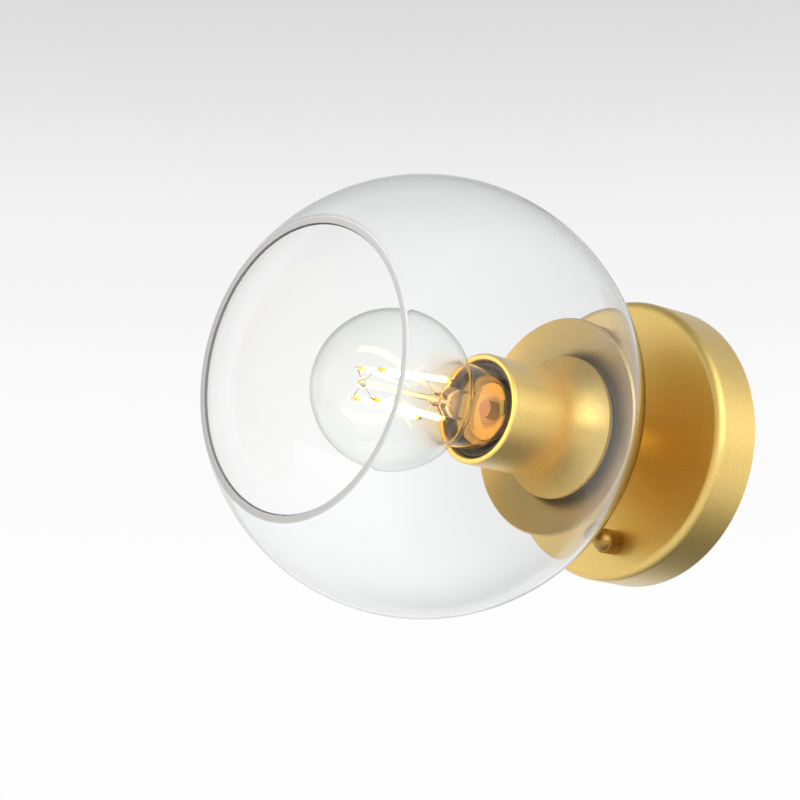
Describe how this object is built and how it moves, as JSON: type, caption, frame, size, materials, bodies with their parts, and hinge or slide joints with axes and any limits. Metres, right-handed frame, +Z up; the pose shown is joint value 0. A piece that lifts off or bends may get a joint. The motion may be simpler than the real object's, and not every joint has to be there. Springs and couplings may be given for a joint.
{
  "type": "wall sconce",
  "caption": "Wall sconce with a round canopy, a trumpet-shaped socket cup and a clear open glass globe around a filament bulb.",
  "frame": {"origin": "on the wall plane, where the lamp's axis meets it, at the centre of the wall-box screw slots", "axes": "+Z up, +Y into the wall along the lamp's axis, so the open globe faces -Y"},
  "size_m": [0.178, 0.1997, 0.178],
  "materials": {
    "gold_finish": "satin gold metallic paint with a fine grain",
    "zinc_plated_steel": "bright zinc plate",
    "green_screw": "green dyed zinc",
    "white_nylon": "moulded nylon",
    "clear_silicone": "translucent silicone",
    "globe_glass": "clear blown glass, ground at the mouth",
    "black_moulding": "black moulded phenolic",
    "shell_aluminium": "rolled bright sheet",
    "contact_brass": "bright brass",
    "black_lead": "insulated stranded lead",
    "white_lead": "insulated stranded lead",
    "bulb_glass": "thin clear blown glass",
    "stem_glass": "clear lead-free stem glass",
    "filament_coating": "yellow phosphor coating, lit",
    "filament_wire": "nickel-iron wire",
    "base_nickel": "rolled nickel-plated sheet",
    "base_insulator": "black moulded insulator",
    "base_solder": "tinned contact",
    "circuit_board": "green board",
    "capacitor_sleeve": "red-brown sleeve",
    "driver_chip": "moulded chip"
  },
  "bodies": {
    "fixture": {"canopy": "gold_finish", "crossbar": "zinc_plated_steel", "canopy_studs": "zinc_plated_steel", "ground_screw": "green_screw", "terminal_block": "white_nylon", "terminal_block_clamps": "zinc_plated_steel", "terminal_block_screw": "zinc_plated_steel", "nipple": "zinc_plated_steel", "canopy_lock_washer": "zinc_plated_steel", "canopy_lock_nut": "zinc_plated_steel", "stem": "gold_finish", "glass_holder": "gold_finish", "holder_gasket": "clear_silicone", "glass_globe": "globe_glass", "cup_gasket": "clear_silicone", "socket_cup": "gold_finish", "cup_lock_washer": "zinc_plated_steel", "cup_lock_nut": "zinc_plated_steel", "socket_cap": "black_moulding", "socket_set_screw": "zinc_plated_steel", "socket_body": "black_moulding", "socket_screw_shell": "shell_aluminium", "socket_contact": "contact_brass", "socket_terminal_screws": "contact_brass", "line_lead": "black_lead", "neutral_lead": "white_lead"},
    "bulb_carrier": {"bulb_contact": "base_solder"},
    "bulb": {"bulb_envelope": "bulb_glass", "bulb_stem": "stem_glass", "bulb_filaments": "filament_coating", "bulb_front_wires": "filament_wire", "bulb_rear_wires": "filament_wire", "bulb_screw_base": "base_nickel", "bulb_insulator": "base_insulator", "bulb_driver_board": "circuit_board", "bulb_driver_capacitor": "capacitor_sleeve", "bulb_driver_chip": "driver_chip"},
    "upper_nut": {"upper_cap_nut": "gold_finish"},
    "lower_nut": {"lower_cap_nut": "gold_finish"}
  },
  "joints": [
    {"name": "bulb_turn", "type": "hinge", "parent": "bulb_carrier", "child": "bulb", "pos_m": [0, -0.1, 0], "axis": [0, -1, 0], "range_deg": [0, 13320]},
    {"name": "bulb_travel", "type": "slide", "parent": "fixture", "child": "bulb_carrier", "axis": [0, -1, 0], "range_m": [0, 0.135]},
    {"name": "upper_nut_turn", "type": "hinge", "parent": "fixture", "child": "upper_nut", "pos_m": [0, -0.0285, 0.04445], "axis": [0, -1, 0], "continuous": true},
    {"name": "lower_nut_turn", "type": "hinge", "parent": "fixture", "child": "lower_nut", "pos_m": [0, -0.0285, -0.04445], "axis": [0, -1, 0], "continuous": true}
  ],
  "couplings": [
    {"joint": "bulb_travel", "follows": "bulb_turn", "m_per_rad": 0.00057773}
  ]
}
